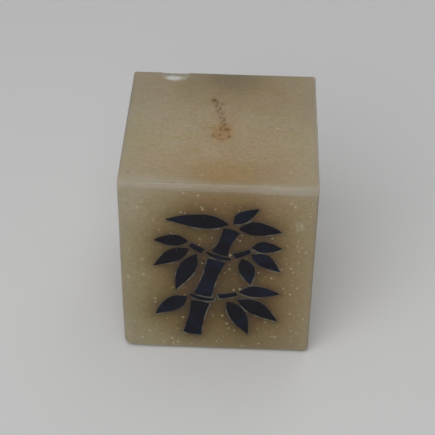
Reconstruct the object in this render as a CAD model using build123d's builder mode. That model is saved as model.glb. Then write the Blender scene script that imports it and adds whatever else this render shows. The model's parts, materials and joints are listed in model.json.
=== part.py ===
from build123d import *
import math
import os

# Square block candle in tan wax with a bamboo sprig inlaid in dark wax on the front face.
# Origin: centre of the base. +Z up, -Y towards the front face. Millimetres.

# Wax block
WIDTH = 75.0
DEPTH = 76.0
HEIGHT = 85.0
FRONT = -DEPTH / 2
VERTICAL_EDGE_R = 1.1
TOP_EDGE_R = 1.0
BOTTOM_EDGE_R = 2.8

# Shallow dent in the rear top edge: a spherical scoop
DENT_X = -20.0
DENT_HALF_WIDTH = 6.4
DENT_DEPTH = 0.4
DENT_R = (DENT_HALF_WIDTH**2 + DENT_DEPTH**2) / (2 * DENT_DEPTH)

# Wick: runs up the block, leans over at the top and lies back in the wax
WICK_R = 1.1
WICK_X = 0.2
WICK_Y = -5.5
WICK_BEND_R = 3.0
WICK_RISE = 0.25
WICK_AXIS_Z = HEIGHT + WICK_RISE - WICK_R
WICK_FOOT_Z = 0.5
WICK_END = (-3.8, 18.0)

# Wax plug that seals the wick hole
PLUG_R = 3.5
PLUG_THICKNESS = 1.6
PLUG_EDGE_R = 0.2

# Sustainer: thin metal disc and crimped collar that hold the wick's foot
DISC_R = 10.0
DISC_THICKNESS = 0.3
DISC_BOTTOM_Z = 0.2
COLLAR_R = 1.5
COLLAR_HEIGHT = 5.0
COLLAR_FLARE_R = 2.2
COLLAR_FLARE_HEIGHT = 0.8

# Inlay: pockets in the front face and the fill that stands slightly below the surface
POCKET_DEPTH = 1.2
FILL_DEPTH = 0.9
FACE_CLEARANCE = 1.0

# Stalk: three segments, each (length, end width, waist width, lean in degrees)
STALK_START = (-9.6, 9.4)
STALK = (
    ("lower", 17.2, 7.4, 6.0, 79.0),
    ("middle", 18.4, 7.0, 5.6, 74.0),
    ("upper", 12.2, 6.4, 4.8, 69.0),
)
STALK_GAP = 4.1
STALK_END_BULGE = 0.5
JOINT_SPAN = 9.8
JOINT_THICKNESS = 1.7
JOINT_LIFT = 0.8

# Branches: (name, x, z, direction in degrees, length, bend)
BRANCH_W = 2.3
BRANCH_TIP_W = 1.7
BRANCHES = (
    ("left", -5.4, 52.8, 146.0, 5.8, 0.4),
    ("right", 6.6, 50.8, 24.0, 6.6, -0.6),
    ("low", 0.8, 29.8, 12.0, 7.2, -0.6),
)

# Leaves: (x, z, direction in degrees, length, width, bend)
LEAF_BASE_W = 1.2
LEAF_TIP_W = 0.4
LEAVES = (
    (3.4, 66.4, 172.0, 22.5, 7.6, 1.6),
    (6.6, 67.2, 42.0, 10.8, 5.8, -0.8),
    (9.0, 64.4, 2.0, 15.0, 7.4, -1.6),
    (-12.0, 57.4, 172.0, 11.6, 6.2, 1.4),
    (-11.5, 53.3, 207.0, 14.7, 7.0, 1.6),
    (-8.2, 50.4, 241.0, 18.8, 7.6, 1.8),
    (14.0, 55.2, 6.0, 10.4, 6.2, -1.2),
    (13.9, 51.4, -30.0, 12.8, 6.6, -1.6),
    (9.8, 48.8, -68.0, 12.6, 7.0, -1.4),
    (9.6, 32.4, 4.0, 14.8, 6.6, -1.6),
    (9.2, 27.8, -29.0, 18.0, 7.8, -1.8),
    (4.8, 26.4, -59.0, 18.0, 7.8, -1.8),
    (-12.0, 28.6, 211.0, 14.8, 7.8, 1.6),
)


def direction(angle):
    return (math.cos(math.radians(angle)), math.sin(math.radians(angle)))


def along(point, angle, distance):
    """Point on the front face a distance away in the given direction."""
    dx, dz = direction(angle)
    return (point[0] + distance * dx, point[1] + distance * dz)


def face_plane(point, angle, depth):
    """Sketch plane parallel to the front face, local x pointing in the given direction."""
    dx, dz = direction(angle)
    return Plane(origin=(point[0], FRONT + depth, point[1]), x_dir=(dx, 0, dz), z_dir=(0, -1, 0))


def leaf_outline(length, width, bend):
    """Brush-stroke leaf: blunt base at the origin, belly near one third, fine tip."""
    base = LEAF_BASE_W / 2
    tip = LEAF_TIP_W / 2
    Bezier(
        (0, base),
        (0.30 * length, 0.70 * width),
        (0.60 * length, 0.42 * width + 0.1 * bend),
        (length, bend + tip),
    )
    Bezier(
        (0, -base),
        (0.26 * length, -0.62 * width),
        (0.64 * length, -0.42 * width + 0.1 * bend),
        (length, bend - tip),
    )
    ThreePointArc((length, bend + tip), (length + tip, bend), (length, bend - tip))
    ThreePointArc((0, base), (-base, 0), (0, -base))


def stalk_outline(length, end_width, waist_width):
    """Stalk segment: waisted sides and slightly domed ends."""
    end = end_width / 2
    waist = waist_width / 2
    ThreePointArc((0, end), (length / 2, waist), (length, end))
    ThreePointArc((length, end), (length + STALK_END_BULGE, 0), (length, -end))
    ThreePointArc((length, -end), (length / 2, -waist), (0, -end))
    ThreePointArc((0, -end), (-STALK_END_BULGE, 0), (0, end))


def joint_outline():
    """Upturned tick across the gap between two stalk segments."""
    half = JOINT_SPAN / 2
    end = JOINT_THICKNESS / 4
    body = JOINT_THICKNESS / 2
    ThreePointArc((-half, JOINT_LIFT + end), (0, body), (half, JOINT_LIFT + end))
    Line((half, JOINT_LIFT + end), (half, JOINT_LIFT - end))
    ThreePointArc((half, JOINT_LIFT - end), (0, -body), (-half, JOINT_LIFT - end))
    Line((-half, JOINT_LIFT - end), (-half, JOINT_LIFT + end))


def branch_outline(length, bend):
    """Thin twig that narrows towards its tip."""
    base = BRANCH_W / 2
    tip = BRANCH_TIP_W / 2
    Bezier((0, base), (length / 2, base + bend), (length, tip))
    Line((length, tip), (length, -tip))
    Bezier((length, -tip), (length / 2, -base + bend), (0, -base))
    Line((0, -base), (0, base))


def stroke_face(point, angle, outline, sizes):
    """Face of one stroke, drawn on the floor of its pocket."""
    with BuildSketch(face_plane(point, angle, POCKET_DEPTH)) as face:
        with BuildLine():
            outline(*sizes)
        make_face()
    return face.sketch


# Every stroke of the motif: (node name, position, direction, outline function, its arguments)
strokes = []
stalk_point = STALK_START
previous_lean = None
for part_name, length, end_width, waist_width, lean in STALK:
    if previous_lean is not None:
        joint_lean = (previous_lean + lean) / 2
        joint_name = "ink_joint_lower" if part_name == "middle" else "ink_joint_upper"
        joint_point = along(stalk_point, joint_lean, STALK_GAP / 2)
        strokes.append((joint_name, joint_point, joint_lean - 90, joint_outline, ()))
        stalk_point = along(stalk_point, joint_lean, STALK_GAP)
    sizes = (length, end_width, waist_width)
    strokes.append(("ink_stalk_" + part_name, stalk_point, lean, stalk_outline, sizes))
    stalk_point = along(stalk_point, lean, length)
    previous_lean = lean
for branch_name, x, z, angle, length, bend in BRANCHES:
    strokes.append(("ink_branch_" + branch_name, (x, z), angle, branch_outline, (length, bend)))
for number, (x, z, angle, length, width, bend) in enumerate(LEAVES, start=1):
    strokes.append((f"ink_leaf_{number:02d}", (x, z), angle, leaf_outline, (length, width, bend)))

# Wick: vertical run, quarter bend, then a gently wandering run along the top face
with BuildPart() as wick:
    with BuildLine() as wick_path:
        lie_start = (WICK_X, WICK_Y + WICK_BEND_R, WICK_AXIS_Z)
        bend_mid = (
            WICK_X,
            WICK_Y + WICK_BEND_R * (1 - math.sqrt(0.5)),
            WICK_AXIS_Z - WICK_BEND_R * (1 - math.sqrt(0.5)),
        )
        riser_top = (WICK_X, WICK_Y, WICK_AXIS_Z - WICK_BEND_R)
        Line((WICK_X, WICK_Y, WICK_FOOT_Z), riser_top)
        ThreePointArc(riser_top, bend_mid, lie_start)
        Spline(
            lie_start,
            (0.7, 2.4, WICK_AXIS_Z),
            (-0.6, 7.2, WICK_AXIS_Z),
            (-1.5, 12.2, WICK_AXIS_Z),
            (WICK_END[0], WICK_END[1], WICK_AXIS_Z),
            tangents=((0, 1, 0), (-0.5, 1, 0)),
        )
    with BuildSketch(Plane(origin=(WICK_X, WICK_Y, WICK_FOOT_Z), z_dir=(0, 0, 1))):
        Circle(WICK_R)
    sweep()

# Sustainer: flat disc, flared foot and crimped collar, bored for the wick
with BuildPart() as wick_sustainer:
    with BuildSketch(Plane(origin=(WICK_X, WICK_Y, 0), z_dir=(0, -1, 0), x_dir=(1, 0, 0))):
        with BuildLine():
            Polyline(
                (0, DISC_BOTTOM_Z),
                (DISC_R, DISC_BOTTOM_Z),
                (DISC_R, DISC_BOTTOM_Z + DISC_THICKNESS),
                (COLLAR_FLARE_R, DISC_BOTTOM_Z + DISC_THICKNESS),
                (COLLAR_R, DISC_BOTTOM_Z + DISC_THICKNESS + COLLAR_FLARE_HEIGHT),
                (COLLAR_R, DISC_BOTTOM_Z + COLLAR_HEIGHT),
                (0, DISC_BOTTOM_Z + COLLAR_HEIGHT),
                close=True,
            )
        make_face()
    revolve(axis=Axis((WICK_X, WICK_Y, 0), (0, 0, 1)))
    with BuildSketch(Plane.XY.offset(WICK_FOOT_Z)):
        with Locations((WICK_X, WICK_Y)):
            Circle(WICK_R)
    extrude(amount=COLLAR_HEIGHT, mode=Mode.SUBTRACT)

# Plug: low disc with a softened rim, pierced by the wick
with BuildPart() as wick_plug:
    with BuildSketch(Plane.XY.offset(HEIGHT - PLUG_THICKNESS)):
        with Locations((WICK_X, WICK_Y)):
            Circle(PLUG_R)
    extrude(amount=PLUG_THICKNESS)
    fillet(wick_plug.edges().group_by(Axis.Z)[-1], PLUG_EDGE_R)
    add(wick.part, mode=Mode.SUBTRACT)

# Wax block: softened cuboid with a dent, the wick's bore and groove, the plug seat,
# the sustainer recess and the pockets of the motif
with BuildPart() as wax_block:
    with BuildSketch(Plane.XY):
        Rectangle(WIDTH, DEPTH)
    extrude(amount=HEIGHT)
    fillet(wax_block.edges().filter_by(Axis.Z), VERTICAL_EDGE_R)
    fillet(wax_block.edges().group_by(Axis.Z)[-1], TOP_EDGE_R)
    fillet(wax_block.edges().group_by(Axis.Z)[0], BOTTOM_EDGE_R)
    with Locations((DENT_X, DEPTH / 2, HEIGHT + DENT_R - DENT_DEPTH)):
        Sphere(DENT_R, mode=Mode.SUBTRACT)
    with BuildSketch(Plane.XY.offset(HEIGHT - PLUG_THICKNESS)):
        with Locations((WICK_X, WICK_Y)):
            Circle(PLUG_R)
    extrude(amount=PLUG_THICKNESS, mode=Mode.SUBTRACT)
    with BuildSketch(Plane.XY):
        with Locations((WICK_X, WICK_Y)):
            Circle(DISC_R)
    extrude(amount=DISC_BOTTOM_Z + DISC_THICKNESS, mode=Mode.SUBTRACT)
    add(wick_sustainer.part, mode=Mode.SUBTRACT)
    add(wick.part, mode=Mode.SUBTRACT)
    for _, point, angle, outline, sizes in strokes:
        pocket_reach = POCKET_DEPTH + FACE_CLEARANCE
        extrude(stroke_face(point, angle, outline, sizes), amount=pocket_reach, mode=Mode.SUBTRACT)

pieces = {
    "wax_block": wax_block,
    "wick": wick,
    "wick_plug": wick_plug,
    "wick_sustainer": wick_sustainer,
}

# Inlay: one fill per stroke, seated on its pocket's floor
for name, point, angle, outline, sizes in strokes:
    with BuildPart() as fill:
        extrude(stroke_face(point, angle, outline, sizes), amount=FILL_DEPTH)
    pieces[name] = fill

os.makedirs("parts", exist_ok=True)
for name, piece in pieces.items():
    piece.part.label = name
    export_step(piece.part, f"parts/{name}.step")
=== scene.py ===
import json
import math
import random

import bmesh
import bpy
import numpy as np
from mathutils import Matrix, Vector, noise
from mathutils.geometry import delaunay_2d_cdt

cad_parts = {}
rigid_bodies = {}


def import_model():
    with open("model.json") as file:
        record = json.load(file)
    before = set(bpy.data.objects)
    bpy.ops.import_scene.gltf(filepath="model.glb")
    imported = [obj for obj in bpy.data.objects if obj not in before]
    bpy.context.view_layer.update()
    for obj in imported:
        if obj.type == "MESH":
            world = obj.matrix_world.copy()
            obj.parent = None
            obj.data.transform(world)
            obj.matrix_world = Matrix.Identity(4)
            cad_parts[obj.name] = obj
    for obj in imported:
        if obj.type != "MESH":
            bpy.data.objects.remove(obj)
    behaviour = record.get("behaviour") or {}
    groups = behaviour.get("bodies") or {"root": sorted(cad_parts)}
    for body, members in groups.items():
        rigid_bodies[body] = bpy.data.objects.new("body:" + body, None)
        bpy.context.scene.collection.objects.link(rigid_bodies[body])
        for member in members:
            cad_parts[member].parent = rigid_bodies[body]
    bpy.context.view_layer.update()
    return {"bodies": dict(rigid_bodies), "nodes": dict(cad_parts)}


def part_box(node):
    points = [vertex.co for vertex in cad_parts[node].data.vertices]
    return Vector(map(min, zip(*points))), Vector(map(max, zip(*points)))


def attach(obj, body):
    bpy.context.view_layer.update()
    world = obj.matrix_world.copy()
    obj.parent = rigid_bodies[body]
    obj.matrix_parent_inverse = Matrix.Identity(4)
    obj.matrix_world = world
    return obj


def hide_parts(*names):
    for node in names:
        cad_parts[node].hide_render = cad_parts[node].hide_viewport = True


# A square block candle: translucent tan wax, a sprig inlaid in dark wax on the front face, a
# braided wick laid down into the top, a wax plug over the wick hole, and a sustainer in the base.
# Shapes are worked out in millimetres, in the CAD frame, and scaled to metres as meshes are made.

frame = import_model()
MM = 0.001
INK_NODES = sorted(name for name in frame["nodes"] if name.startswith("ink_"))
ROOT_BODY = next(iter(frame["bodies"]))


def box_mm(node):
    low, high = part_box(node)
    return np.array(low) / MM, np.array(high) / MM


HALF_X, HALF_Y, TOP = box_mm("wax_block")[1]
FRONT = -HALF_Y
ON_FACE = 1e-6

# Edge rounding of the block
SIDE_R = 1.1
TOP_R = 1.0
BASE_R = 2.8
BASE_CORNER_R = 0.6
WORN_R = 3.6

# Waves of the hand-poured flats: mean depth, then amount, width and offset of each noise
WAVE_MEAN = 0.10
WAVES = ((0.09, 26.0, 0.0), (0.03, 7.0, 4.0))

# Mesh spacing
EDGE_STEP = 0.9
COARSE_STEP = 1.05
BASE_STEP = 1.8
INLAY_STEP = 0.30
TOP_STEP = 0.38
FILL_STEP = 0.42
OUTLINE_STEP = 0.35
WICK_STEP = 0.3
CORNER_SEGMENTS = 5
FILLET_SEGMENTS = 8

# Inlay: the rim of each pocket is rounded, then the wall slopes down under the dark fill.
# Distances from a stroke are worked out up to FAR
RIM_WIDTH = 0.55
RIM_DEPTH = 0.20
WALL_WIDTH = 0.40
POCKET_DEPTH = 1.15
FILL_EDGE_DEPTH = 0.26
FILL_SAG = 0.12
FILL_FLOOR_DEPTH = 1.2
FAR = 3.0

# The painted shade that the dark fills cast through the wax: spacing of the sample points, and how
# far back it is worked out
INK_SAMPLE_STEP = 1.2
INK_LIGHT_END = 8.0

# The lip along the front's top edge, paler with painted light: height, slope to the right, and the
# low step at its foot
LIP_HEIGHT = 2.8
LIP_SLOPE = 0.022
LIP_STEP = 0.04

# Air-bubble pits; depth and reach are shares of the radius
PIT_COUNTS = {"front": 120, "side": 60, "top": 10}
PIT_RADII = (0.24, 0.28, 0.34, 0.42, 0.54)
PIT_DEPTH = 0.35
PIT_REACH = 1.35

# Wick: three plaited strands. A film of wax hides it where it lies in the top, up to just below
# the crests of its strands, which show as dots
WICK_R = 1.1
BEND_R = 3.0
BRAID_PITCH = 11.7
BRAID_HALF_WIDTH = 0.85
BRAID_RISE = 0.30
STRANDS = 3
STRAND_R = 0.58
STRAND_SIDES = 12
FILM_DROP = 0.085

# Plug
SEAT_DEPTH = 0.45
PLUG_DEPTH = 1.4
PLUG_SCALE = 0.985
PLUG_WANDER = 0.05
PLUG_SINK = 0.10

# Brown spots round the plug and on the top: x, y, radius, strength
SPOTS = (
    (-3.3, -6.6, 0.75, 0.75),
    (3.4, -6.9, 0.70, 0.75),
    (0.4, -9.0, 0.80, 0.35),
    (1.1, -2.5, 1.00, 0.60),
    (-0.4, -6.0, 0.75, 0.75),
    (2.2, -2.1, 1.30, 0.90),
    (-2.8, -1.6, 1.00, 0.30),
    (-4.4, -1.4, 0.90, 0.22),
    (-6.5, -1.6, 0.80, 0.38),
    (27.6, -1.0, 0.60, 0.45),
    (-33.7, -31.5, 0.60, 0.45),
)

# The dent in the rear edge
DENT_X = -20.0
DENT_RX, DENT_RY = 6.7, 8.2
DENT_DEPTH = 0.35

# Recess in the base round the sustainer
RECESS = 0.55
RECESS_GAP = 0.15

# Stage, in metres
BLOCK_CENTRE = Vector((0, 0, TOP / 2 * MM))
BACKGROUND_GREY = 184
FLOOR_GREY = 226
FLOOR_RADIUS = 1.2
FLOOR_FADE = (0.30, 0.75)
WORLD_LIGHT = 0.21

# Lights: name, place, size, watts; all point at the block's centre
LIGHTS = (
    ("key", (-0.30, -0.85, 1.02), 1.3, 10.8),
    ("low_rear", (0.5, 1.15, 0.22), 0.8, 3.0),
    ("sky", (0.1, 0.1, 1.4), 1.0, 2.2),
)

# The camera stands in front of the block, a little to its right, and looks down on it
CAMERA_FROM_CENTRE = Vector((0.01112, -0.41227, 0.33078))
CAMERA_YAW = -1.662
CAMERA_PITCH = 39.016
CAMERA_ROLL = 0.825
CAMERA_LENS = 106.7
CAMERA_SENSOR = 36.0
CAMERA_SHIFT = -0.0015


# ---- small helpers

def smooth(low, high, value):
    """Smooth step from 0 at low to 1 at high; low may be the greater one."""
    t = np.clip((np.asarray(value, float) - low) / (high - low), 0, 1)
    return t * t * (3 - 2 * t)


def noise_at(points, scale, offset=0.0):
    """Soft noise in -1..1 at points, features about scale millimetres wide."""
    shift = Vector((offset, 2 * offset, 3 * offset))
    return np.array([noise.noise(Vector(p) / scale + shift) for p in points])


def hex_points(low, high, step):
    """Points of a triangular lattice inside a rectangle."""
    rows = np.arange(low[1], high[1], step * math.sqrt(0.75))
    points = [
        (x, y)
        for i, y in enumerate(rows)
        for x in np.arange(low[0] + (i % 2) * step / 2, high[0], step)
    ]
    return np.array(points)


def make_object(name, points, faces):
    """Smooth-shaded mesh from points in millimetres, with its faces turned outwards."""
    mesh = bpy.data.meshes.new(name)
    mesh.from_pydata((np.asarray(points) * MM).tolist(), [], [list(map(int, f)) for f in faces])
    tool = bmesh.new()
    tool.from_mesh(mesh)
    bmesh.ops.recalc_face_normals(tool, faces=tool.faces)
    tool.to_mesh(mesh)
    tool.free()
    mesh.polygons.foreach_set("use_smooth", [True] * len(mesh.polygons))
    piece = bpy.data.objects.new(name, mesh)
    bpy.context.scene.collection.objects.link(piece)
    return piece


def set_attribute(piece, name, values):
    attribute = piece.data.attributes.new(name, "FLOAT", "POINT")
    attribute.data.foreach_set("value", np.asarray(values, np.float32))


def stand_for(piece, node):
    """The piece replaces one CAD node and rides on its body."""
    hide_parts(node)
    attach(piece, ROOT_BODY)


def triangulate(boundary, interior):
    """Triangles over a flat patch, as indices into the boundary points followed by the interior."""
    points = np.vstack([boundary, interior])
    loop = list(range(len(boundary)))
    result = delaunay_2d_cdt([Vector(p) for p in points], [], [loop], 1, 1e-6)
    source = [ids[0] for ids in result[3]]
    return [[source[i] for i in face] for face in result[2]]


# ---- the motif's outlines

def face_outline(node):
    """Outline of a fill's front face as (x, z) points in order, read from its CAD mesh."""
    mesh = frame["nodes"][node].data
    points = np.array([v.co for v in mesh.vertices]) / MM
    front = points[:, 1].min()
    keys, ids = {}, []
    for x, y, z in points:
        if abs(y - front) < 1e-3:
            ids.append(keys.setdefault((round(x, 3), round(z, 3)), len(keys)))
        else:
            ids.append(-1)
    edges = set()
    for polygon in mesh.polygons:
        corners = [ids[v] for v in polygon.vertices]
        if min(corners) >= 0:
            edges.update(zip(corners, corners[1:] + corners[:1]))
    following = {a: b for a, b in edges if (b, a) not in edges}
    places = list(keys)
    start = next(iter(following))
    loop = [start]
    while following[loop[-1]] != start:
        loop.append(following[loop[-1]])
    return np.array([places[i] for i in loop])


def signed_distance(points, outline):
    """Distance to a closed outline, negative inside it."""
    a = outline
    b = np.roll(outline, -1, axis=0)
    ab = b - a
    rise = np.where(ab[:, 1] == 0, 1e-12, ab[:, 1])
    out = np.empty(len(points))
    for chunk in np.array_split(np.arange(len(points)), len(points) // 3000 + 1):
        p = points[chunk][:, None, :]
        t = np.clip(((p - a) * ab).sum(2) / (ab**2).sum(1), 0, 1)
        distance = np.linalg.norm(p - (a + t[..., None] * ab), axis=2).min(1)
        spans = (a[:, 1] <= p[..., 1]) != (b[:, 1] <= p[..., 1])
        crossing = a[:, 0] + (p[..., 1] - a[:, 1]) * ab[:, 0] / rise
        inside = (spans & (p[..., 0] < crossing)).sum(1) % 2 == 1
        out[chunk] = np.where(inside, -distance, distance)
    return out


outlines = {node: face_outline(node) for node in INK_NODES}


def motif_distance(points):
    """Signed distance to the nearest stroke, up to FAR millimetres."""
    nearest = np.full(len(points), FAR)
    for outline in outlines.values():
        low, high = outline.min(0) - FAR, outline.max(0) + FAR
        close = ((points > low) & (points < high)).all(1)
        if close.any():
            nearest[close] = np.minimum(nearest[close], signed_distance(points[close], outline))
    return nearest


motif_low = np.min([o.min(0) for o in outlines.values()], axis=0)
motif_high = np.max([o.max(0) for o in outlines.values()], axis=0)
ink_samples = hex_points(motif_low, motif_high, INK_SAMPLE_STEP)
ink_samples = ink_samples[motif_distance(ink_samples) < 0]
ink_samples = np.array([(x, FRONT, z) for x, z in ink_samples])


def ink_glow(points, reach):
    """Share of the light path that dark fills take away, 0..1, fading over reach millimetres."""
    area = INK_SAMPLE_STEP**2 * math.sqrt(0.75)
    out = np.empty(len(points))
    for chunk in np.array_split(np.arange(len(points)), len(points) // 3000 + 1):
        gap = np.linalg.norm(points[chunk][:, None, :] - ink_samples, axis=2)
        out[chunk] = np.exp(-gap / reach).sum(1) * area / (2 * math.pi * reach**2)
    return out


# ---- wick path

plug_low, plug_high = box_mm("wick_plug")
PLUG_R = (plug_high[0] - plug_low[0]) / 2
PLUG_X = (plug_low[0] + plug_high[0]) / 2
PLUG_Y = plug_low[1] + PLUG_R
wick_low, wick_high = box_mm("wick")
WICK_Z = wick_high[2] - WICK_R


def lying_wick():
    """Centre line of the wick's lying stretch, as (x, y) points from the bend to the end."""
    points = np.array([v.co for v in frame["nodes"]["wick"].data.vertices]) / MM
    points = points[(points[:, 2] > WICK_Z) & (points[:, 1] > PLUG_Y + BEND_R)]
    rows = np.linspace(PLUG_Y + BEND_R, wick_high[1] - 0.6, 12)
    line = [(PLUG_X, rows[0])]
    for y in rows[1:]:
        near = points[np.abs(points[:, 1] - y) < 1.4]
        line.append(((near[:, 0].min() + near[:, 0].max()) / 2, y))
    return np.array(line)


wick_line = lying_wick()
wick_steps = np.diff(wick_line, axis=0)
wick_lengths = np.linalg.norm(wick_steps, axis=1)
wick_starts = np.concatenate([[0], np.cumsum(wick_lengths)])
WICK_LENGTH = wick_starts[-1]


def wick_distance(points):
    """Distance in the top plane from the lying wick, in millimetres."""
    a, ab = wick_line[:-1], wick_steps
    p = np.asarray(points)[:, None, :]
    t = np.clip(((p - a) * ab).sum(2) / wick_lengths**2, 0, 1)
    return np.linalg.norm(p - (a + t[..., None] * ab), axis=2).min(1)


def point_on_wick(along, side=0.0):
    """Point in the top plane, a distance along the lying wick and to its right."""
    i = min(int(np.searchsorted(wick_starts, along, side="right")) - 1, len(wick_steps) - 1)
    heading = wick_steps[i] / wick_lengths[i]
    right = np.array((heading[1], -heading[0]))
    return wick_line[i] + heading * (along - wick_starts[i]) + side * right


# ---- air-bubble pits

def scatter_pits(rng, count, height, weight):
    """Random (u, v, radius) on a face, kept where weight(u, v) beats a draw."""
    pits = []
    while len(pits) < count:
        u = rng.uniform(-0.47, 0.47) * 2 * HALF_X
        v = rng.uniform(0.03, 0.95) * height
        if rng.random() < weight(u, v):
            pits.append((u, v, rng.choice(PIT_RADII)))
    return pits


def front_weight(u, v):
    """No pits on the strokes, and the most at the lower right."""
    clear = motif_distance(np.array([(u, v)]))[0] > 0.9
    low_right = 0.5 + 0.5 * smooth(-40, 45, u - 0.6 * (v - 42))
    return low_right if clear else 0.0


pit_rng = random.Random(11)
side_pits = {"front": scatter_pits(pit_rng, PIT_COUNTS["front"], TOP, front_weight)}
for side in ("right", "back", "left"):
    side_pits[side] = scatter_pits(pit_rng, PIT_COUNTS["side"], TOP, lambda u, v: 1 - 0.7 * v / TOP)
top_pits = scatter_pits(pit_rng, PIT_COUNTS["top"], 2 * HALF_Y, lambda u, v: 0.5)
top_pits = [(u, v - HALF_Y, r) for u, v, r in top_pits if abs(u) > 6]


def pit_rings(pits):
    """Mesh points that give each pit its round shape."""
    points = []
    for u, v, r in pits:
        points.append((u, v))
        for share, count in ((0.45, 6), (0.9, 9), (PIT_REACH, 11)):
            for i in range(count):
                turn = 2 * math.pi * i / count + share
                points.append((u + share * r * math.cos(turn), v + share * r * math.sin(turn)))
    return np.array(points)


# ---- the wax block's base surface

STEPS_X = round(2 * (HALF_X - SIDE_R) / EDGE_STEP)
STEPS_Y = round(2 * (HALF_Y - SIDE_R) / EDGE_STEP)
STEPS_Z = round((TOP - TOP_R - BASE_R) / EDGE_STEP)

# The sides in order round the block: mesh steps, and the place of a point (u, height) on each
SIDES = {
    "front": (STEPS_X, lambda u, v: (u, FRONT, v)),
    "right": (STEPS_Y, lambda u, v: (HALF_X, u, v)),
    "back": (STEPS_X, lambda u, v: (-u, HALF_Y, v)),
    "left": (STEPS_Y, lambda u, v: (-HALF_X, -u, v)),
}


def ring(inset, corner_r, z):
    """Points once round the block at height z, the same count at every level."""
    half = np.array((HALF_X, HALF_Y)) - inset
    core = half - corner_r
    points = []
    for side, (steps, _) in enumerate(SIDES.values()):
        first = (side - 1) * math.pi / 2
        outwards = np.round((math.cos(first), math.sin(first)))
        along = np.array((-outwards[1], outwards[0]))
        for t in np.linspace(-1, 1, steps + 1)[:-1]:
            points.append(outwards * half + along * core * t)
        for t in np.arange(CORNER_SEGMENTS) / CORNER_SEGMENTS * math.pi / 2 + first:
            spoke = np.array((math.cos(t), math.sin(t)))
            points.append((outwards + along) * core + corner_r * spoke)
    return np.column_stack([points, np.full(len(points), z)])


class Surface:
    """Collects patches and joins them where their points coincide."""

    def __init__(self):
        self.points, self.ids, self.faces = [], {}, []

    def add(self, points, faces):
        local = []
        for p in points:
            key = tuple(np.round(p, 4) + 0.0)
            if key not in self.ids:
                self.ids[key] = len(self.points)
                self.points.append(tuple(p))
            local.append(self.ids[key])
        for face in faces:
            corners = [local[i] for i in face]
            if len(set(corners)) == len(corners):
                self.faces.append(corners)

    def add_rows(self, rows, closed):
        """Quads between rows of points."""
        count = len(rows[0])
        faces = []
        for a in range(0, (len(rows) - 1) * count, count):
            b = a + count
            for i in range(count if closed else count - 1):
                j = (i + 1) % count
                faces.append((a + i, a + j, b + j, b + i))
        self.add(np.vstack(rows), faces)


def side_interior(side, half, low, high):
    """Interior points of a flat side: a coarse lattice, finer round the strokes, and pit rings."""
    pits = side_pits[side]
    margin = 0.55 * COARSE_STEP
    corner = np.array((half - margin, high - margin))
    coarse = hex_points((-corner[0], low + margin), corner, COARSE_STEP)
    parts = [coarse[~near_pits(coarse, pits)]]
    if side == "front":
        fine = hex_points(motif_low - 1.2, motif_high + 1.2, INLAY_STEP)
        distance = motif_distance(fine)
        fine = fine[(distance < 0.8) & (distance > -0.75)]
        coarse = parts[0][np.abs(motif_distance(parts[0])) > 1.0]
        parts = [coarse, fine[~near_pits(fine, pits)]]
    rings = pit_rings(pits)
    inside = (rings > (0.5 - half, low + 0.5)) & (rings < (half - 0.5, high - 0.5))
    parts.append(rings[inside.all(1)])
    return np.vstack(parts)


def near_pits(points, pits):
    close = np.zeros(len(points), bool)
    for u, v, r in pits:
        close |= np.hypot(points[:, 0] - u, points[:, 1] - v) < 1.7 * r
    return close


def build_block_surface():
    surface = Surface()
    turns = np.linspace(0, math.pi / 2, FILLET_SEGMENTS + 1)
    base_rows, top_rows = [], []
    for t in turns:
        inset = BASE_R * (1 - math.sin(t))
        corner = BASE_CORNER_R + (SIDE_R - BASE_CORNER_R) * math.sin(t)
        base_rows.append(ring(inset, corner, BASE_R * (1 - math.cos(t))))
        inset = TOP_R * (1 - math.cos(t))
        top_rows.append(ring(inset, SIDE_R - inset, TOP - TOP_R * (1 - math.sin(t))))
    surface.add_rows(base_rows, closed=True)
    surface.add_rows(top_rows, closed=True)

    levels = np.linspace(BASE_R, TOP - TOP_R, STEPS_Z + 1)
    middle = ring(0, SIDE_R, 0.0)
    start = 0
    for side, (steps, _) in SIDES.items():
        end = start + steps
        corner = middle[np.arange(end, end + CORNER_SEGMENTS + 1) % len(middle)]
        rows = [np.column_stack([corner[:, :2], np.full(len(corner), z)]) for z in levels]
        surface.add_rows(rows, closed=False)
        half = (HALF_X if steps == STEPS_X else HALF_Y) - SIDE_R
        add_flat_side(surface, side, half, levels)
        start = end + CORNER_SEGMENTS
    add_flat_end(surface, top_rows[-1], TOP, top_interior())
    add_flat_end(surface, base_rows[0], 0.0, base_interior())
    return surface


def add_flat_side(surface, side, half, levels):
    """Flat side between the corner columns, triangulated in its own (u, height) plane."""
    steps, place = SIDES[side]
    across = np.linspace(-half, half, steps + 1)
    low, high = levels[0], levels[-1]
    boundary = [(u, low) for u in across]
    boundary += [(half, z) for z in levels[1:]]
    boundary += [(u, high) for u in across[::-1][1:]]
    boundary += [(-half, z) for z in levels[::-1][1:-1]]
    interior = side_interior(side, half, low, high)
    faces = triangulate(boundary, interior)
    surface.add(np.array([place(u, v) for u, v in np.vstack([boundary, interior])]), faces)


def add_flat_end(surface, rim, z, interior):
    boundary = rim[:, :2]
    faces = triangulate(boundary, interior)
    flat = np.vstack([boundary, interior])
    surface.add(np.column_stack([flat, np.full(len(flat), z)]), faces)


def top_interior():
    """Interior points of the top: finer round the wick, the plug and the dent."""
    corner = np.array((HALF_X, HALF_Y)) - TOP_R - 0.5

    def detail(points):
        plug_gap = np.hypot(points[:, 0] - PLUG_X, points[:, 1] - PLUG_Y)
        dent_gap = np.hypot(points[:, 0] - DENT_X, points[:, 1] - HALF_Y)
        return (wick_distance(points) < 3.2) | (plug_gap < 5.0) | (dent_gap < DENT_RY + 1.2)

    coarse = hex_points(-corner, corner, COARSE_STEP)
    fine = hex_points(-corner, corner, TOP_STEP)
    coarse = coarse[~detail(coarse) & ~near_pits(coarse, top_pits)]
    fine = fine[detail(fine)]
    return np.vstack([coarse, fine, pit_rings(top_pits)])


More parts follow.
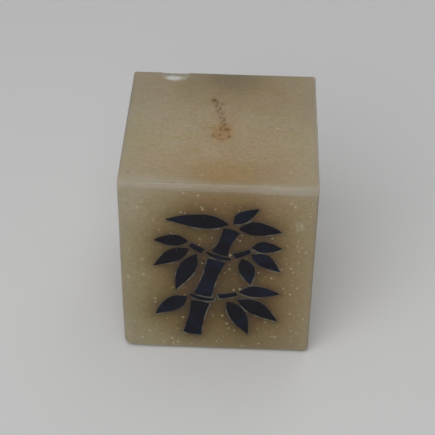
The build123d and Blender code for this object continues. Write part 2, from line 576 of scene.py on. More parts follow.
disc_low, disc_high = box_mm("wick_sustainer")
DISC_R = (disc_high[0] - disc_low[0]) / 2 + RECESS_GAP
DISC_CENTRE = (disc_low[:2] + disc_high[:2]) / 2


def base_interior():
    """Interior points of the base: two close rings make the step of the sustainer's recess."""
    corner = np.array((HALF_X, HALF_Y)) - BASE_R - 0.7
    plain = hex_points(-corner, corner, BASE_STEP)
    gap = np.abs(np.hypot(*(plain - DISC_CENTRE).T) - DISC_R)
    rings = []
    for r in (DISC_R - 0.05, DISC_R + 0.05, DISC_R + 0.6):
        for t in np.arange(96) / 96 * 2 * math.pi:
            rings.append(DISC_CENTRE + r * np.array((math.cos(t), math.sin(t))))
    return np.vstack([plain[gap > 1.3], rings])


# ---- the wax block's relief

def pocket_depth(distance):
    """Depth of the carved front face at a signed distance from a stroke's outline."""
    rim = RIM_DEPTH * (1 - np.clip(distance, 0, RIM_WIDTH) / RIM_WIDTH) ** 2
    wall = (POCKET_DEPTH - RIM_DEPTH) * np.clip(-distance / WALL_WIDTH, 0, 1)
    return rim + wall


def spot_shade(flat, spots):
    """Brown shade at points of the top plane, 0..1."""
    shade = np.zeros(len(flat))
    for x, y, radius, strength in spots:
        away = np.hypot(flat[:, 0] - x, flat[:, 1] - y) / radius
        away += 0.25 * noise_at(np.column_stack([flat, np.zeros(len(flat))]), 0.8, x)
        shade = np.maximum(shade, strength * np.exp(-(np.maximum(away, 0) ** 2)))
    return shade


def crest_spots():
    """Where the strands of the lying wick come to the surface, left and right in turn."""
    rng = random.Random(8)
    end_x, end_y = wick_line[-1]
    spots = [
        (end_x, end_y, 1.15, 1.0),
        (end_x + 3.2, end_y - 2.6, 0.95, 0.75),
        (end_x - 0.6, end_y - 2.6, 0.7, 0.35),
    ]
    for half_turn in range(8):
        for strand in range(STRANDS):
            turn = math.pi / 4 + half_turn * math.pi - strand * 2 * math.pi / STRANDS
            along = WICK_LENGTH - turn / (2 * math.pi) * BRAID_PITCH
            side = BRAID_HALF_WIDTH * math.sin(math.pi / 4 - half_turn * math.pi)
            if 0.6 < along < WICK_LENGTH:
                x, y = point_on_wick(along, side)
                spots.append((x, y, rng.uniform(0.75, 1.15), rng.uniform(0.3, 0.7)))
    return spots


class Relief:
    """Shapes the block's surface, and keeps what its material reads at each point."""

    def __init__(self, piece, base):
        self.base, self.points = base, base.copy()
        self.x, self.y, self.z = base.T
        normals = np.empty(base.size, np.float32)
        piece.data.vertex_normals.foreach_get("vector", normals)
        self.normals = normals.reshape(-1, 3).astype(float)
        self.front = np.abs(self.y - FRONT) < ON_FACE
        self.top = np.abs(self.z - TOP) < ON_FACE
        self.bottom = self.z < ON_FACE
        self.high = self.z > TOP - TOP_R
        self.read = {}

    def noise(self, scale, offset=0.0):
        return noise_at(self.base, scale, offset)

    def wave(self):
        """Hand-poured flats are a little wavy; the surface only ever moves inwards."""
        swell = WAVE_MEAN + sum(amount * self.noise(*shape) for amount, *shape in WAVES)
        swell[self.bottom] = 0.0
        self.points -= self.normals * swell[:, None]

    def wear_foot(self):
        """The front left foot of the block is worn rounder than the other corners."""
        inwards = np.array((-HALF_X, FRONT, 0.0)) + WORN_R - self.base
        cut = np.maximum(np.linalg.norm(np.maximum(inwards, 0), axis=1) - WORN_R, 0)
        scale = cut / np.maximum(np.linalg.norm(inwards, axis=1), 1)
        self.points += inwards * scale[:, None]

    def carve_pockets(self):
        distance = np.full(len(self.base), FAR)
        distance[self.front] = motif_distance(self.base[self.front][:, [0, 2]])
        self.points[self.front, 1] += pocket_depth(distance[self.front])
        # Painted highlight: a pale line round each stroke, where its pocket's rounded rim catches
        # the light.
        self.read["rim"] = np.exp(-((distance / 0.4) ** 2)) * self.front
        # Painted shade: dark wax right next to each stroke, the darkest part of the halo that the
        # dark fills cast in the wax.
        self.read["bleed"] = np.exp(-np.maximum(distance, 0) / 0.55) * self.front

    def raise_lip(self):
        """The lip ends in a low step on the front; its paler band of painted light runs a little
        way onto the top.
        """
        wander = 0.25 * self.noise(9.0, 8.0)
        step = TOP - LIP_HEIGHT - LIP_SLOPE * self.x + wander
        on_front = smooth(-0.8, 0.6, self.z - step)
        self.points[self.front, 1] += LIP_STEP * (1 - on_front[self.front])
        reach = 1.2 + 6.0 * smooth(6, -30, self.x) + 3 * wander
        on_top = 0.6 * smooth(1.0, 0.0, (self.y - FRONT - TOP_R) / reach) * self.high
        lip = np.where(self.y < FRONT + TOP_R, on_front, on_top)
        self.read["lip"] = lip * (1 - 0.45 * np.exp(-(((self.x - 3) / 15) ** 2)))

    def dig_pits(self):
        """Air-bubble pits on every side, pale inside."""
        speck = np.zeros(len(self.base))
        pits = [(SIDES[side][1](u, v), r) for side in SIDES for u, v, r in side_pits[side]]
        pits += [((u, v, TOP), r) for u, v, r in top_pits]
        for place, r in pits:
            gap = np.linalg.norm(self.base - place, axis=1) / r
            close = gap < PIT_REACH
            bowl = (1 - np.clip(gap[close], 0, 1) ** 2) ** 2
            self.points[close] -= self.normals[close] * (PIT_DEPTH * r * bowl)[:, None]
            speck[close] = np.maximum(speck[close], 1 - smooth(0.55, 1.25, gap[close]))
        self.read["speck"] = speck

    def shape_top(self):
        """The film of wax over the lying wick, the seat under the plug, and the brown spots."""
        top, flat = self.top, self.base[self.top][:, :2]
        wick_gap = wick_distance(flat)
        plug_x, plug_y = flat[:, 0] - PLUG_X, flat[:, 1] - PLUG_Y
        film = WICK_Z + BRAID_RISE + STRAND_R - FILM_DROP
        film += 0.07 * noise_at(self.base[top], 1.7, 7.0)
        cover = 1 - smooth(1.6, 3.4, wick_gap)
        seat = 1 - smooth(PLUG_R - 0.35, PLUG_R + 0.15, np.hypot(plug_x, plug_y))
        self.points[top, 2] = self.points[top, 2] * (1 - cover) + film * cover - SEAT_DEPTH * seat
        stain, orange = np.zeros(len(self.base)), np.zeros(len(self.base))
        soak = 0.16 * (1 - smooth(0.8, 2.4, wick_gap))
        stain[top] = np.maximum(soak, spot_shade(flat, (*SPOTS, *crest_spots())))
        glow_gap = np.hypot(plug_x, (plug_y - 1.2) / 1.25)
        orange[top] = 1 - smooth(PLUG_R - 1.4, PLUG_R + 2.6, glow_gap)
        self.read.update(stain=stain, orange=orange)

    def dent_rear_edge(self):
        """Shallow dent in the rear top edge, with bruised wax in it."""
        x, y = self.x - DENT_X, self.y - HALF_Y
        gap = np.hypot(x / DENT_RX, y / DENT_RY) + 0.07 * self.noise(2.4, 2.0)
        bowl = DENT_DEPTH * (1 - smooth(0.55, 1.0, gap)) - 0.05 * np.cos(14 * gap)
        near_top = smooth(TOP - 2.0, TOP - 0.6, self.z)
        self.points[:, 2] -= bowl * near_top * (gap < 1.0)
        core_gap = np.hypot((x + 1.2) / 4.0, (y + 4.4) / 2.4) + 0.2 * self.noise(1.2, 3.0)
        cloudy = 0.85 + 0.25 * self.noise(1.5, 6.0)
        self.read.update(
            bruise=(1 - smooth(0.66, 1.06, gap)) * near_top * cloudy,
            bruise_core=(1 - smooth(0.45, 1.15, core_gap)) * near_top,
            rear_rim=smooth(-3.7, -2.1, y + 0.8 * self.noise(2.0, 1.0)) * near_top,
        )

    def recess_base(self):
        in_disc = np.hypot(*(self.base[:, :2] - DISC_CENTRE).T) < DISC_R
        self.points[self.bottom & in_disc, 2] = RECESS

    def find_ink(self):
        """Painted shade: how much ink lies close behind the wax, at three reaches, as masks that
        darken the wax's colour.
        """
        lit = self.y < INK_LIGHT_END
        for name, reach, tone in (
            ("near_ink", 2.2, lambda glow: 1 - np.exp(-6 * glow)),
            ("deep_ink", 4.5, lambda glow: smooth(0.20, 0.52, glow)),
            ("far_ink", 7.0, lambda glow: 1 - np.exp(-9 * glow)),
        ):
            glow = np.zeros(len(self.base))
            glow[lit] = ink_glow(self.base[lit], reach)
            self.read[name] = tone(glow)

    def top_patch(self, x, y, rx, ry):
        """Soft spot on the top face with a wandering outline."""
        away = np.hypot((self.x - x) / rx, (self.y - y) / ry) + 0.12 * self.noise(6.0, 9.0)
        return np.exp(-(away**2)) * self.high

    def front_patch(self, x, z, rx, rz):
        """Soft spot on the front face with a wandering outline."""
        away = np.hypot((self.x - x) / rx, (self.z - z) / rz) + 0.2 * self.noise(3.0, 5.0)
        return np.exp(-(away**2)) * (self.y < FRONT + BASE_R)

    def shade_places(self):
        """Edges, faces and soft patches that the wax's colour follows: most carry painted light and
        shade, besides the grain, a scuff and a warmer spot round the wick.
        """
        x, y, z = self.x, self.y, self.z
        to_faces = np.column_stack([HALF_X - np.abs(x), HALF_Y - np.abs(y), TOP - z, z])
        to_edge = np.sort(to_faces, axis=1)[:, 1]
        level_edge = smooth(TOP - 3, TOP - 1, z) * (np.abs(y) > HALF_Y - 2)
        self.read.update(
            edge=np.exp(-to_edge / 6.0),
            corner=np.exp(-(to_edge**2)) * (1 - level_edge),
            ridge=(y < FRONT + 1.05 * TOP_R) * smooth(TOP - TOP_R, TOP - 0.6 * TOP_R, z),
            grain=np.where((y < FRONT + SIDE_R) | self.high, 1.0, 0.4),
            down=1 - z / TOP,
            left=(0.5 - x / (2 * HALF_X)) * (1 - 0.55 * smooth(TOP - 3, TOP, z)),
            rear_half=smooth(-14, 22, y) * self.high,
            rear_edge=smooth(HALF_Y - 1.8, HALF_Y - 0.7, y) * self.high,
            front_glow=np.exp(-(((x - 2) / 17) ** 2) - ((z - 77) / 6.5) ** 2) * self.front,
            low_patch=self.front_patch(15.0, 3.0, 18.0, 8.0),
            scuff=self.front_patch(31.0, 66.5, 2.2, 2.6),
            warm_patch=self.top_patch(2.0, -31.0, 17.0, 11.0),
            rear_patch=self.top_patch(4.0, 32.0, 24.0, 17.0),
            dark_patch=self.top_patch(2.5, 37.0, 12.0, 11.0),
            wick_glow=self.top_patch(1.0, -1.0, 5.5, 10.0),
        )


def make_wax_block():
    surface = build_block_surface()
    piece = make_object("wax_block_body", surface.points, surface.faces)
    relief = Relief(piece, np.array(surface.points))
    relief.wave()
    relief.wear_foot()
    relief.carve_pockets()
    relief.raise_lip()
    relief.dig_pits()
    relief.shape_top()
    relief.dent_rear_edge()
    relief.recess_base()
    relief.find_ink()
    relief.shade_places()
    points = np.clip(relief.points, (-HALF_X, -HALF_Y, 0), (HALF_X, HALF_Y, TOP)) * MM
    piece.data.vertices.foreach_set("co", points.astype(np.float32).ravel())
    piece.data.update()
    for name, values in relief.read.items():
        set_attribute(piece, name, values)
    stand_for(piece, "wax_block")
    return piece


# ---- dark fills

def resample(outline, step):
    """The outline with its long edges split."""
    points = []
    for a, b in zip(outline, np.roll(outline, -1, axis=0)):
        pieces = max(1, round(np.linalg.norm(b - a) / step))
        points += [a + (b - a) * i / pieces for i in range(pieces)]
    return np.array(points)


def make_fill(node):
    """One dark stroke: sagging, brush-streaked face, straight sides, flat back."""
    outline = resample(outlines[node], OUTLINE_STEP)
    inner = hex_points(outline.min(0), outline.max(0), FILL_STEP)
    inner = inner[signed_distance(inner, outline) < -0.2]
    faces = triangulate(outline, inner)
    flat = np.vstack([outline, inner])
    inwards = -np.minimum(signed_distance(flat, outline), 0)
    spokes = outline - outline.mean(0)
    run = spokes[np.argmax(np.linalg.norm(spokes, axis=1))]
    run = run / np.linalg.norm(run)
    across = flat @ np.array((-run[1], run[0]))
    brushed = np.column_stack([across, (flat @ run) / 9.0, np.zeros(len(flat))])
    streaks = 0.028 * noise_at(brushed, 0.55) + 0.03 * noise_at(brushed, 2.0, 3.0)
    depth = FILL_EDGE_DEPTH + FILL_SAG * smooth(0, 0.9, inwards)
    depth += streaks * smooth(0, 0.4, inwards)
    face = np.column_stack([flat[:, 0], FRONT + depth, flat[:, 1]])
    back = face.copy()
    back[:, 1] = FRONT + FILL_FLOOR_DEPTH
    count, rim = len(flat), len(outline)
    ends = list(faces) + [[i + count for i in reversed(f)] for f in faces]
    walls = [(i, (i + 1) % rim, (i + 1) % rim + count, i + count) for i in range(rim)]
    piece = make_object(node + "_fill", np.vstack([face, back]), ends + walls)
    set_attribute(piece, "inwards", np.tile(inwards, 2))
    shading = [True] * len(ends) + [False] * len(walls)
    piece.data.polygons.foreach_set("use_smooth", shading)
    stand_for(piece, node)
    return piece


# ---- wick, plug

def wick_centre_line():
    """Points from the wick's foot, up the block, round the bend and along the top, smoothed."""
    points = [(PLUG_X, PLUG_Y, z) for z in np.arange(wick_low[2] + 0.05, WICK_Z - BEND_R, 1.5)]
    for t in np.linspace(0, math.pi / 2, 14)[:-1]:
        back, rise = BEND_R * (1 - math.cos(t)), BEND_R * math.sin(t)
        points.append((PLUG_X, PLUG_Y + back, WICK_Z - BEND_R + rise))
    points += [(*point_on_wick(along), WICK_Z) for along in np.arange(0, WICK_LENGTH, WICK_STEP)]
    points = np.array(points)
    for _ in range(6):
        points[1:-1] = 0.25 * points[:-2] + 0.5 * points[1:-1] + 0.25 * points[2:]
    return points


def make_wick():
    """Three strands plaited round the centre line, each a lightly twisted cord."""
    line = wick_centre_line()
    steps = np.gradient(line, axis=0)
    headings = steps / np.linalg.norm(steps, axis=1)[:, None]
    along = np.concatenate([[0], np.cumsum(np.linalg.norm(np.diff(line, axis=0), axis=1))])
    sideways = np.cross(headings, np.array((0.0, -0.02, 1.0)))
    sideways[np.abs(headings[:, 2]) > 0.999] = (1.0, 0.0, 0.0)
    sideways /= np.linalg.norm(sideways, axis=1)[:, None]
    upwards = np.cross(sideways, headings)
    sides, end = STRAND_SIDES, along[-1]
    points, faces, gaps = [], [], []
    for strand in range(STRANDS):
        phase = 2 * math.pi * ((along - end) / BRAID_PITCH + strand / STRANDS)
        offset = sideways * (BRAID_HALF_WIDTH * np.sin(phase))[:, None]
        offset += upwards * (BRAID_RISE * np.sin(2 * phase))[:, None]
        first = len(points)
        for i, centre in enumerate(line + offset):
            fray = 1 - 0.55 * smooth(end - 0.5, end, along[i])
            for k in range(sides):
                turn = 2 * math.pi * k / sides
                r = STRAND_R * fray * (1 + 0.07 * math.cos(3 * turn - 2.2 * along[i]))
                spoke = math.cos(turn) * sideways[i] + math.sin(turn) * upwards[i]
                points.append(centre + r * spoke)
                # Painted shade: the gap mark is high where the strand dips under the others.
                gaps.append(0.5 - 0.5 * math.sin(2 * phase[i]))
        for a in range(first, len(points) - sides, sides):
            for k in range(sides):
                j = (k + 1) % sides
                faces.append((a + k, a + j, a + j + sides, a + k + sides))
        faces.append(tuple(range(first, first + sides)))
        faces.append(tuple(range(len(points) - sides, len(points))))
    points = np.array(points)
    points[:, 2] = np.minimum(points[:, 2], wick_high[2])
    piece = make_object("wick_braid", points, faces)
    set_attribute(piece, "gap", gaps)
    char = smooth(end - 3.0, end, np.repeat(np.tile(along, STRANDS), sides))
    set_attribute(piece, "char", char)
    stand_for(piece, "wick")
    return piece


def make_plug():
    """Low disc of orange wax with a soft rim and an uneven face, dipped where the wick leaves."""
    count = 72
    turns = np.arange(count) / count * 2 * math.pi
    circle = [(math.cos(t), math.sin(t), 0.3) for t in turns]
    wander = 1 + PLUG_WANDER * noise_at(circle, 1 / 1.6)
    profile = [(0.985, -PLUG_DEPTH), (0.985, -0.24), (0.97, -0.14), (0.94, -0.08), (0.88, -0.04)]
    profile += [(share, 0.0) for share in np.linspace(0.8, 0.06, 11)]
    points = [(PLUG_X, PLUG_Y, TOP - PLUG_DEPTH)]
    for share, depth in profile:
        for (cosine, sine, _), w in zip(circle, wander):
            r = PLUG_R * share * w * PLUG_SCALE
            points.append((PLUG_X + r * cosine, PLUG_Y + r * sine, TOP + depth))
    points.append((PLUG_X, PLUG_Y, TOP))
    points = np.array(points)
    on_wick = 1 - smooth(0.5, 1.2, wick_distance(points[:, :2]))
    face = points[:, 2] > TOP - 0.3
    dip = 0.05 * noise_at(points, 1.4, 5.0) - 0.06 - PLUG_SINK * on_wick
    points[:, 2] = np.minimum(points[:, 2] + np.where(face, dip, 0), TOP)
    faces = [(0, 1 + (i + 1) % count, 1 + i) for i in range(count)]
    last = 1 + (len(profile) - 1) * count
    for first in range(1, last, count):
        for i in range(count):
            a, b = first + i, first + (i + 1) % count
            faces.append((a, b, b + count, a + count))
    faces += [(last + i, last + (i + 1) % count, len(points) - 1) for i in range(count)]
    piece = make_object("wick_plug_disc", points, faces)
    spread = np.hypot(points[:, 0] - PLUG_X, points[:, 1] - PLUG_Y) / PLUG_R
    set_attribute(piece, "rim", smooth(0.66, 0.95, spread))
    set_attribute(piece, "spot", spot_shade(points[:, :2], SPOTS))
    stand_for(piece, "wick_plug")
    return piece


# ---- materials

class Nodes:
    """Short hand for building a node material."""

    def __init__(self, name):
        self.material = bpy.data.materials.new(name)
        self.material.use_nodes = True
        self.tree = self.material.node_tree
        self.shader = self.tree.nodes["Principled BSDF"]

    def new(self, kind, **settings):
        node = self.tree.nodes.new(kind)
        for key, value in settings.items():
            setattr(node, key, value)
        return node

    def feed(self, socket, value):
        """Links an input when the value is an output, and sets it otherwise."""
        if isinstance(value, bpy.types.NodeSocket):
            self.tree.links.new(value, socket)
        else:
            socket.default_value = value

    def feed_all(self, node, **values):
        for name, value in values.items():
            self.feed(node.inputs[name.replace("_", " ")], value)
        return node

    def attribute(self, name):
        return self.new("ShaderNodeAttribute", attribute_name=name).outputs["Fac"]

    def position(self):
        return self.new("ShaderNodeTexCoord").outputs["Object"]

    def noise(self, size_mm, detail=3.0, roughness=0.5, stretch=None):
        place = self.position()
        if stretch is not None:
            mapping = self.feed_all(self.new("ShaderNodeMapping"), Scale=stretch, Vector=place)
            place = mapping.outputs["Vector"]
        texture = self.feed_all(
            self.new("ShaderNodeTexNoise"),
            Vector=place,
            Scale=1 / (size_mm * MM),
            Detail=detail,
            Roughness=roughness,
        )
        return texture.outputs["Fac"]

    def math(self, operation, a, b):
        node = self.new("ShaderNodeMath", operation=operation)
        for socket, value in zip(node.inputs, (a, b)):
            self.feed(socket, value)
        return node.outputs[0]

    def times(self, a, b):
        return self.math("MULTIPLY", a, b)

    def spread(self, value, low, high, to_low=0.0, to_high=1.0):
        """Smooth step of a value from one range to another."""
        node = self.new("ShaderNodeMapRange", interpolation_type="SMOOTHSTEP")
        self.feed_all(node, Value=value, From_Min=low, From_Max=high, To_Min=to_low, To_Max=to_high)
        return node.outputs["Result"]

    def mix(self, share, a, b, blend="MIX"):
        node = self.new("ShaderNodeMix", data_type="RGBA", blend_type=blend)
        for index, value in ((0, share), (6, a), (7, b)):
            self.feed(node.inputs[index], value)
        return node.outputs[2]

    def mix_at(self, name, share, colour, other):
        """Colour mixed with another where the named attribute is high."""
        return self.mix(self.times(self.attribute(name), share), colour, other)

    def tint(self, colour, share, factors):
        """Colour multiplied by factors, by share."""
        return self.mix(share, colour, (*factors, 1.0), "MULTIPLY")

    def tint_at(self, colour, **factors_by_name):
        """Colour multiplied by factors where each named attribute is high, one after another."""
        for name, factors in factors_by_name.items():
            colour = self.tint(colour, self.attribute(name), factors)
        return colour

    def bump(self, height, distance_mm, strength=1.0):
        node = self.new("ShaderNodeBump")
        self.feed_all(node, Strength=strength, Distance=distance_mm * MM, Height=height)
        return node.outputs["Normal"]

    def finish(self, **inputs):
        self.feed_all(self.shader, **inputs)
        return self.material


def rgb(red, green, blue):
    """Linear colour from 8-bit screen values."""
    def linear(c):
        c = c / 255
        return c / 12.92 if c <= 0.04045 else ((c + 0.055) / 1.055) ** 2.4
    return (linear(red), linear(green), linear(blue), 1.0)


def fine_specks(n, cell_mm, share, size):
    """Small round dots in a random share of the cells of a grid."""
    cells = n.new("ShaderNodeTexVoronoi", feature="F1", voronoi_dimensions="3D")
    n.feed_all(cells, Vector=n.position(), Scale=1 / (cell_mm * MM))
    dot = n.spread(cells.outputs["Distance"], size, size * 0.55)
    split = n.new("ShaderNodeSeparateColor")
    n.feed(split.inputs[0], cells.outputs["Color"])
    return n.times(dot, n.math("LESS_THAN", split.outputs[0], share))


def clouded_wax(n):
    """The wax's own colour: clouds, grain and fine streaks, from the widest to the finest."""
    clouds = n.spread(n.noise(30.0, 2.0), 0.35, 0.65)
    colour = n.mix(clouds, rgb(185, 167, 139), rgb(181, 162, 130))
    flakes = n.spread(n.noise(5.0, 4.0, 0.6), 0.3, 0.75, 0.0, 0.30)
    colour = n.mix(flakes, colour, rgb(186, 165, 133))
    dark_grain = n.spread(n.noise(1.6, 3.0, 0.6), 0.35, 0.75, 0.0, 0.50)
    colour = n.mix_at("grain", dark_grain, colour, rgb(148, 134, 112))
    pale_grain = n.spread(n.noise(0.8, 2.0), 0.45, 0.75, 0.0, 0.72)
    colour = n.mix_at("grain", pale_grain, colour, rgb(200, 184, 150))
    for size, roughness, stretch, low, high, factors in (
        (17.0, 0.55, None, 0.36, 0.66, (0.95, 0.94, 0.90)),
        (9.0, 0.6, None, 0.42, 0.66, (1.03, 0.98, 1.03)),
        (7.0, 0.6, (0.8, 1.0, 1.1), 0.45, 0.68, (0.97, 1.0, 0.90)),
    ):
        cloud = n.spread(n.noise(size, 3.0, roughness, stretch), low, high)
        colour = n.tint(colour, cloud, factors)
    streaks = n.spread(n.noise(0.9, 3.0, 0.6, stretch=(0.18, 1.0, 1.0)), 0.40, 0.66)
    return n.tint(colour, n.times(n.attribute("grain"), streaks), (0.95, 0.95, 0.93))


def shaded_wax(n, colour):
    """The wax's colour with painted light and shade: by height, across the face, at the edges and
    corners, in soft patches, and round the ink behind it.
    """
    # Painted light and shade: darker towards the bottom, and paler and cooler on the left, where
    # the light comes from.
    colour = n.tint_at(colour, down=(0.78, 0.78, 0.70), left=(1.02, 1.13, 1.25))
    # Painted light: paler wax within a few millimetres of every edge, where light passes through
    # the wax.
    colour = n.mix_at("edge", 0.65, colour, rgb(171, 164, 142))
    colour = n.tint_at(
        colour,
        # Painted shade: the rear half of the top and the rounded corners darker; the rear top edge
        # is tinted cooler.
        rear_half=(0.88, 0.88, 0.89),
        rear_edge=(0.95, 0.99, 1.12),
        corner=(0.76, 0.82, 0.94),
        # Painted shade: the dark fills' halo seen at the front of the top and at the top of the
        # front, a darker lower right of the front, and darker patches at the rear of the top.
        warm_patch=(1.0, 0.86, 0.70),
        front_glow=(0.88, 0.74, 0.62),
        low_patch=(0.82, 0.78, 0.76),
        rear_patch=(0.84, 0.76, 0.64),
        dark_patch=(0.72, 0.78, 0.86),
        # A warmer tint round the wick.
        wick_glow=(0.97, 0.88, 0.76),
        # Painted shade: the wax round the dark fills darker, as the fills take away light passing
        # through it.
        far_ink=(0.62, 0.52, 0.27),
        near_ink=(0.48, 0.42, 0.44),
        deep_ink=(0.56, 0.54, 0.64),
    )
    # Painted shade right next to each stroke, the darkest part of the dark fills' halo.
    bleed = n.spread(n.noise(2.6, 3.0), 0.35, 0.65, 0.35, 0.9)
    return n.mix_at("bleed", bleed, colour, rgb(44, 44, 50))


def marked_wax(n, colour):
    """The marks on the surface: spots, dust, pits, a scuff and the bruised dent; also painted light
    on the lip, painted highlights on the pockets' rims and painted shade on the front top edge.
    """
    # Painted light: the lip band is paler, with streaks of painted highlight in it.
    colour = n.mix_at("lip", 0.82, colour, rgb(180, 172, 155))
    lines = n.spread(n.noise(0.4, 3.0, 0.6, stretch=(0.05, 1.0, 1.0)), 0.52, 0.66)
    colour = n.mix_at("lip", n.times(lines, 0.34), colour, rgb(214, 209, 192))
    # Painted shade on the rounding of the front top edge, toning down its highlight.
    colour = n.tint_at(colour, ridge=(0.84, 0.86, 0.88))
    colour = n.mix_at("orange", 0.5, colour, rgb(186, 138, 84))
    colour = n.mix_at("stain", 0.88, colour, rgb(102, 72, 26))
    # Painted highlight: a patchy pale line round each stroke's pocket.
    patchy = n.spread(n.noise(6.0, 2.0), 0.48, 0.62, 0.04, 0.55)
    colour = n.mix_at("rim", patchy, colour, rgb(146, 150, 136))
    dust = fine_specks(n, 2.2, 0.4, 0.14)
    colour = n.mix(n.times(dust, 0.35), colour, rgb(205, 190, 160))
    colour = n.mix_at("speck", 0.5, colour, rgb(214, 202, 172))
    wisps = n.spread(n.noise(1.4, 3.0, 0.6, stretch=(1.0, 1.0, 0.5)), 0.40, 0.62)
    colour = n.mix_at("scuff", n.times(wisps, 0.55), colour, rgb(196, 194, 182))
    bruised = n.mix(n.attribute("bruise_core"), rgb(188, 182, 162), rgb(218, 215, 210))
    bruised = n.tint_at(bruised, rear_rim=(0.68, 0.69, 0.71))
    return n.mix(n.attribute("bruise"), colour, bruised)


def tan_wax_material():
    n = Nodes("tan_wax")
    fine = n.noise(0.55, 4.0, 0.6)
    swirl = n.noise(4.0, 2.0)
    scratches = n.noise(0.5, 3.0, 0.6, stretch=(0.12, 1.0, 1.0))
    rough = n.spread(swirl, 0.3, 0.7, 0.34, 0.46)
    rough = n.math("ADD", rough, n.spread(fine, 0.3, 0.7, -0.03, 0.05))
    height = n.math("ADD", n.math("ADD", fine, n.times(swirl, 1.5)), n.times(scratches, 1.2))
    return n.finish(
        Base_Color=marked_wax(n, shaded_wax(n, clouded_wax(n))),
        Roughness=n.math("ADD", rough, n.times(n.attribute("lip"), 0.22)),
        IOR=1.43,
        Specular_IOR_Level=0.36,
        Subsurface_Weight=0.85,
        Subsurface_Radius=(1.0, 0.62, 0.34),
        Subsurface_Scale=4.0 * MM,
        Normal=n.bump(height, 0.05, 0.4),
    )


def ink_material():
    n = Nodes("ink_wax")
    cloud = n.spread(n.noise(9.0, 3.0, 0.55), 0.42, 0.66)
    streak = n.noise(0.5, 3.0, 0.6)
    colour = n.mix(cloud, rgb(15, 11, 20), rgb(18, 25, 42))
    colour = n.mix(n.spread(streak, 0.45, 0.75, 0.0, 0.5), colour, rgb(28, 34, 50))
    rim = n.spread(n.attribute("inwards"), 0.30, 0.0)
    colour = n.mix(n.times(rim, 0.6), colour, rgb(30, 24, 30))
    colour = n.mix(n.times(fine_specks(n, 2.6, 0.12, 0.13), 0.5), colour, rgb(120, 124, 128))
    rough = n.spread(n.noise(1.2, 3.0), 0.3, 0.7, 0.38, 0.55)
    return n.finish(
        Base_Color=colour,
        Roughness=n.math("SUBTRACT", rough, n.times(cloud, 0.08)),
        Specular_IOR_Level=0.2,
        Normal=n.bump(streak, 0.06, 0.7),
    )


def plug_material():
    n = Nodes("orange_wax")
    clouds = n.spread(n.noise(1.6, 3.0), 0.3, 0.7)
    colour = n.mix(clouds, rgb(171, 143, 106), rgb(168, 134, 93))
    colour = n.mix_at("rim", 0.5, colour, rgb(160, 122, 76))
    return n.finish(
        Base_Color=n.mix_at("spot", 0.88, colour, rgb(98, 68, 32)),
        Roughness=n.spread(n.noise(0.8), 0.3, 0.7, 0.40, 0.55),
        Specular_IOR_Level=0.28,
        Subsurface_Weight=0.6,
        Subsurface_Radius=(1.0, 0.55, 0.28),
        Subsurface_Scale=1.6 * MM,
        Normal=n.bump(n.noise(0.5), 0.06, 0.6),
    )


def cotton_material():
    n = Nodes("wick_cotton")
    threads = n.noise(0.16, 2.0, 0.5, stretch=(1.0, 0.25, 1.0))
    colour = n.mix(n.spread(threads, 0.35, 0.65), rgb(142, 104, 62), rgb(114, 80, 44))
    # Painted shade in the braid, where each strand dips under the others.
    gap = n.spread(n.attribute("gap"), 0.45, 0.95, 0.0, 0.9)
    colour = n.mix(gap, colour, rgb(88, 62, 32))
    return n.finish(
        Base_Color=n.mix_at("char", 0.85, colour, rgb(70, 48, 28)),
        Roughness=n.spread(threads, 0.3, 0.7, 0.5, 0.75),
        Subsurface_Weight=0.3,
        Subsurface_Radius=(1.0, 0.6, 0.35),
        Subsurface_Scale=0.8 * MM,
        Normal=n.bump(threads, 0.08, 0.8),
    )


def tinplate_material():
    n = Nodes("tinplate")
    brush = n.noise(0.25, 2.0, 0.5, stretch=(0.08, 1.0, 1.0))
    tarnish = n.spread(n.noise(6.0, 4.0, 0.6), 0.45, 0.75)
    return n.finish(
        Base_Color=n.mix(n.times(tarnish, 0.5), rgb(206, 206, 202), rgb(150, 142, 128)),
        Metallic=1.0,
        Roughness=n.spread(brush, 0.3, 0.7, 0.28, 0.44),
        Normal=n.bump(brush, 0.02, 0.5),
    )


# ---- stage: floor, light, camera

def make_floor():
    """Pale floor that fades into the background colour away from the object."""
    mesh = bpy.data.meshes.new("floor")
    tool = bmesh.new()
    bmesh.ops.create_circle(tool, cap_ends=True, segments=96, radius=FLOOR_RADIUS)
    tool.to_mesh(mesh)
    tool.free()
    floor = bpy.data.objects.new("floor", mesh)
    bpy.context.scene.collection.objects.link(floor)
    n = Nodes("floor_paper")
    n.finish(Base_Color=rgb(*[FLOOR_GREY] * 3), Roughness=0.9, Specular_IOR_Level=0.1)
    length = n.new("ShaderNodeVectorMath", operation="LENGTH")
    n.feed(length.inputs[0], n.position())
    blend = n.new("ShaderNodeMixShader")
    n.feed(blend.inputs[0], n.spread(length.outputs["Value"], *FLOOR_FADE))
    n.feed(blend.inputs[1], n.shader.outputs[0])
    n.feed(blend.inputs[2], n.new("ShaderNodeBsdfTransparent").outputs[0])
    n.feed(n.tree.nodes["Material Output"].inputs["Surface"], blend.outputs[0])
    floor.data.materials.append(n.material)


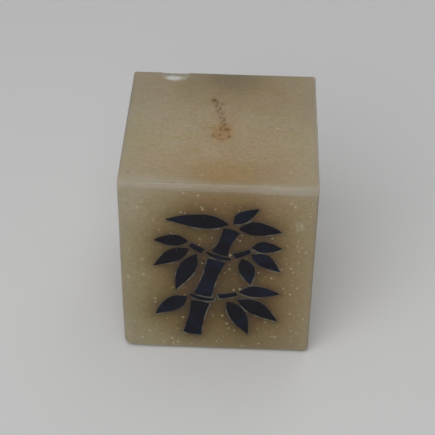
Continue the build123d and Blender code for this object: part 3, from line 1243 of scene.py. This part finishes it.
def make_world():
    """Even grey surroundings: what the camera sees, and a softer level for the lighting."""
    world = bpy.data.worlds.new("studio")
    world.use_nodes = True
    bpy.context.scene.world = world
    nodes, links = world.node_tree.nodes, world.node_tree.links
    seen = nodes["Background"]
    seen.inputs["Color"].default_value = rgb(*[BACKGROUND_GREY] * 3)
    lighting = nodes.new("ShaderNodeBackground")
    lighting.inputs["Color"].default_value = (WORLD_LIGHT, WORLD_LIGHT, WORLD_LIGHT, 1.0)
    path = nodes.new("ShaderNodeLightPath")
    choose = nodes.new("ShaderNodeMixShader")
    links.new(path.outputs["Is Camera Ray"], choose.inputs[0])
    links.new(lighting.outputs[0], choose.inputs[1])
    links.new(seen.outputs[0], choose.inputs[2])
    links.new(choose.outputs[0], nodes["World Output"].inputs["Surface"])


def area_light(name, place, size, watts):
    data = bpy.data.lights.new(name, "AREA")
    data.size = size
    data.energy = watts
    light = bpy.data.objects.new(name, data)
    light.location = place
    light.rotation_euler = (BLOCK_CENTRE - Vector(place)).to_track_quat("-Z", "Y").to_euler()
    bpy.context.scene.collection.objects.link(light)


def make_camera():
    yaw, pitch, roll = (math.radians(a) for a in (CAMERA_YAW, CAMERA_PITCH, CAMERA_ROLL))
    level = Vector((math.cos(yaw), -math.sin(yaw), 0))
    ahead = Vector((math.sin(yaw), math.cos(yaw), 0))
    heading = math.cos(pitch) * ahead - Vector((0, 0, math.sin(pitch)))
    raised = level.cross(heading)
    right = math.cos(roll) * level + math.sin(roll) * raised
    up = math.cos(roll) * raised - math.sin(roll) * level
    turn = Matrix((right, up, -heading)).transposed().to_4x4()
    data = bpy.data.cameras.new("camera")
    data.sensor_width = CAMERA_SENSOR
    data.lens = CAMERA_LENS
    data.shift_x = CAMERA_SHIFT
    camera = bpy.data.objects.new("camera", data)
    camera.matrix_world = Matrix.Translation(BLOCK_CENTRE + CAMERA_FROM_CENTRE) @ turn
    bpy.context.scene.collection.objects.link(camera)
    bpy.context.scene.camera = camera


# ---- build

make_wax_block().data.materials.append(tan_wax_material())
ink = ink_material()
for node in INK_NODES:
    make_fill(node).data.materials.append(ink)
make_wick().data.materials.append(cotton_material())
make_plug().data.materials.append(plug_material())
sustainer = frame["nodes"]["wick_sustainer"]
sustainer.data.materials.clear()
sustainer.data.materials.append(tinplate_material())

make_floor()
make_world()
for name, place, size, watts in LIGHTS:
    area_light(name, place, size, watts)
make_camera()
bpy.context.scene.view_settings.view_transform = "Standard"
